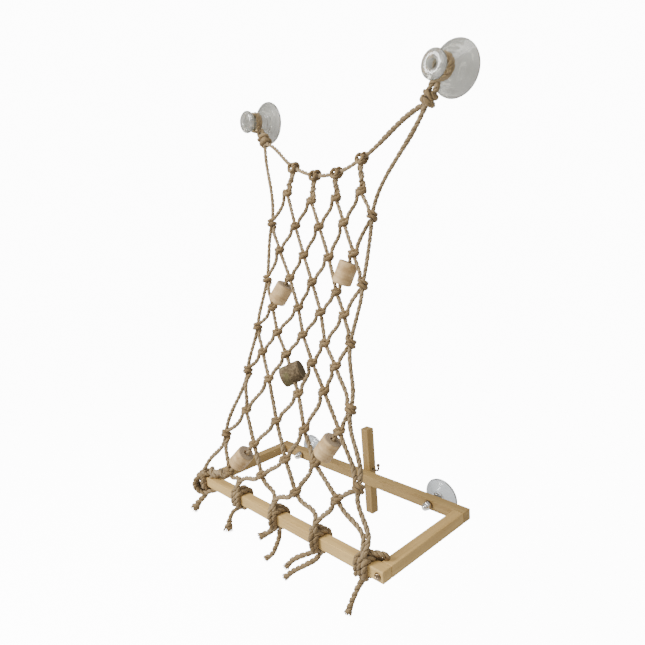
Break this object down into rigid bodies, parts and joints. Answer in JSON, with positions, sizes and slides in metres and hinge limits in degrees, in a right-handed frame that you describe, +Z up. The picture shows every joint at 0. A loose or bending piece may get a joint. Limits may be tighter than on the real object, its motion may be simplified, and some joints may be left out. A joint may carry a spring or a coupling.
{
  "type": "climbing net",
  "caption": "Knotted jute net with threaded wooden beads, leaning from a level wooden frame to two clear suction cups, with two more cups and a swivel brace behind.",
  "frame": {"origin": "on the wall plane that the suction cups and the brace meet, midway between the two lower cups, at the height of the frame's centre line", "axes": "+Z up, +Y into the wall, +X to the right when facing the wall"},
  "size_m": [0.2786, 0.1423, 0.4318],
  "materials": {
    "wood": "bare sanded softwood",
    "bead_wood": "bare turned wood",
    "bark_wood": "wood with its bark left on",
    "jute": "twisted natural fibre",
    "clear_pvc": "soft clear plastic",
    "zinc_steel": "zinc plated",
    "nickel": "bright nickel",
    "dark_steel": "darkened steel"
  },
  "bodies": {
    "root": {"front_rail": "wood", "rear_rail": "wood", "left_side_rail": "wood", "right_side_rail": "wood", "front_left_screw": "zinc_steel", "rear_left_screw": "zinc_steel", "front_right_screw": "zinc_steel", "rear_right_screw": "zinc_steel", "brace_screw": "zinc_steel", "lower_left_cup": "clear_pvc", "lower_left_cup_stud": "zinc_steel", "lower_left_cup_washer": "zinc_steel", "lower_left_cup_dome_nut": "nickel", "lower_right_cup": "clear_pvc", "lower_right_cup_stud": "zinc_steel", "lower_right_cup_washer": "zinc_steel", "lower_right_cup_dome_nut": "nickel", "rail_hitch_1": "jute", "rail_hitch_2": "jute", "rail_hitch_3": "jute", "rail_hitch_4": "jute", "rail_hitch_5": "jute", "tail_left_corner": "jute", "tail_1": "jute", "tail_2_short": "jute", "tail_2_long": "jute", "tail_3_short": "jute", "tail_3_long": "jute", "tail_right_corner": "jute"},
    "brace": {"brace_bar": "wood", "brace_hook": "dark_steel"},
    "net": {"head_rope": "jute", "left_edge_rope": "jute", "right_edge_rope": "jute", "left_cup_lashing": "jute", "right_cup_lashing": "jute", "net_strand_1": "jute", "net_strand_2": "jute", "net_strand_3": "jute", "net_strand_4": "jute", "net_strand_5": "jute", "net_strand_6": "jute", "net_strand_7": "jute", "net_strand_8": "jute"},
    "upper_left_cup": {"upper_left_cup": "clear_pvc"},
    "upper_right_cup": {"upper_right_cup": "clear_pvc"},
    "bead_upper_left": {"bead_upper_left": "bead_wood"},
    "bead_upper_right": {"bead_upper_right": "bead_wood"},
    "bead_bark": {"bead_bark": "bark_wood"},
    "bead_lower_left": {"bead_lower_left": "bead_wood"},
    "bead_lower_right": {"bead_lower_right": "bead_wood"}
  },
  "joints": [
    {"name": "net_fold", "type": "hinge", "parent": "root", "child": "net", "pos_m": [0, -0.121, 0], "axis": [1, 0, 0], "range_deg": [0, 95]},
    {"name": "brace_swivel", "type": "hinge", "parent": "root", "child": "brace", "pos_m": [0.003, -0.0048, 0], "axis": [0, 1, 0], "continuous": true},
    {"name": "upper_left_cup_turn", "type": "hinge", "parent": "net", "child": "upper_left_cup", "pos_m": [-0.1175, -0.018, 0.366], "axis": [0, 1, 0], "continuous": true},
    {"name": "upper_right_cup_turn", "type": "hinge", "parent": "net", "child": "upper_right_cup", "pos_m": [0.1175, -0.018, 0.366], "axis": [0, 1, 0], "continuous": true},
    {"name": "bead_upper_left_spin", "type": "hinge", "parent": "net", "child": "bead_upper_left", "pos_m": [-0.043, -0.06292, 0.194], "axis": [0.5385, 0.2512, 0.8043], "continuous": true},
    {"name": "bead_upper_right_spin", "type": "hinge", "parent": "net", "child": "bead_upper_right", "pos_m": [0.039, -0.05672, 0.214], "axis": [0.3157, 0.2793, 0.9068], "continuous": true},
    {"name": "bead_bark_spin", "type": "hinge", "parent": "net", "child": "bead_bark", "pos_m": [-0.0095, -0.08515, 0.1245], "axis": [-0.5978, 0.2494, 0.7619], "continuous": true},
    {"name": "bead_lower_left_spin", "type": "hinge", "parent": "net", "child": "bead_lower_left", "pos_m": [-0.064, -0.11462, 0.037], "axis": [0.666, 0.244, 0.7049], "continuous": true},
    {"name": "bead_lower_right_spin", "type": "hinge", "parent": "net", "child": "bead_lower_right", "pos_m": [0.049, -0.10213, 0.0735], "axis": [0.5354, 0.2707, 0.8], "continuous": true}
  ]
}
